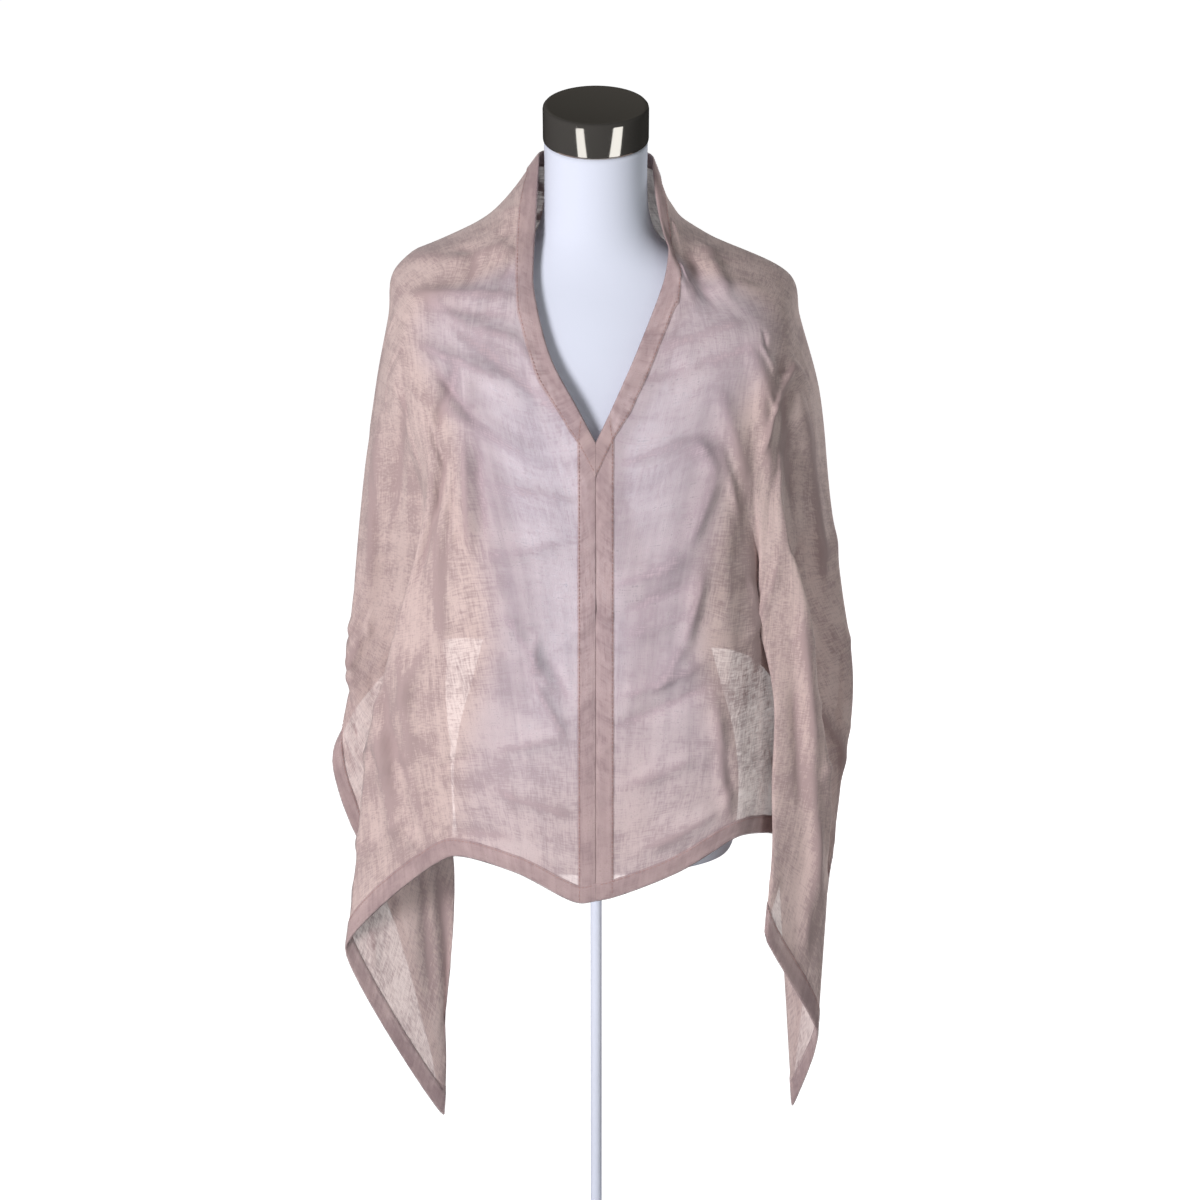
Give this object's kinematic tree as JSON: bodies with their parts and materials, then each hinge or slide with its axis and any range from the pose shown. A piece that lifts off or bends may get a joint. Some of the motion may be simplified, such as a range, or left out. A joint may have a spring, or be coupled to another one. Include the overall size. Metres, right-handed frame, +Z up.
{
  "type": "poncho on dress form",
  "caption": "See-through gauze poncho with a V neck, a joined centre front and long side corners, draped on a limbless dress form with a pole and a round base.",
  "frame": {"origin": "centre of the base's underside, on the floor", "axes": "+Z up, -Y to the front of the poncho, +X to the right as seen from the front"},
  "size_m": [0.55, 0.3, 1.2813],
  "materials": {
    "gauze": "open plain weave, matte, see-through, dusty rose",
    "gauze_hem": "three layers of the same gauze, darker where they overlap",
    "white_shell": "cool white lacquer, satin gloss",
    "chrome": "polished"
  },
  "bodies": {
    "root": {"panel": "gauze", "neck_hem": "gauze_hem", "left_centre_hem": "gauze_hem", "right_centre_hem": "gauze_hem", "left_front_hem": "gauze_hem", "right_front_hem": "gauze_hem", "lower_hem": "gauze_hem", "dress_form": "white_shell", "neck_cap": "chrome", "pole": "white_shell", "base": "white_shell"}
  },
  "joints": []
}
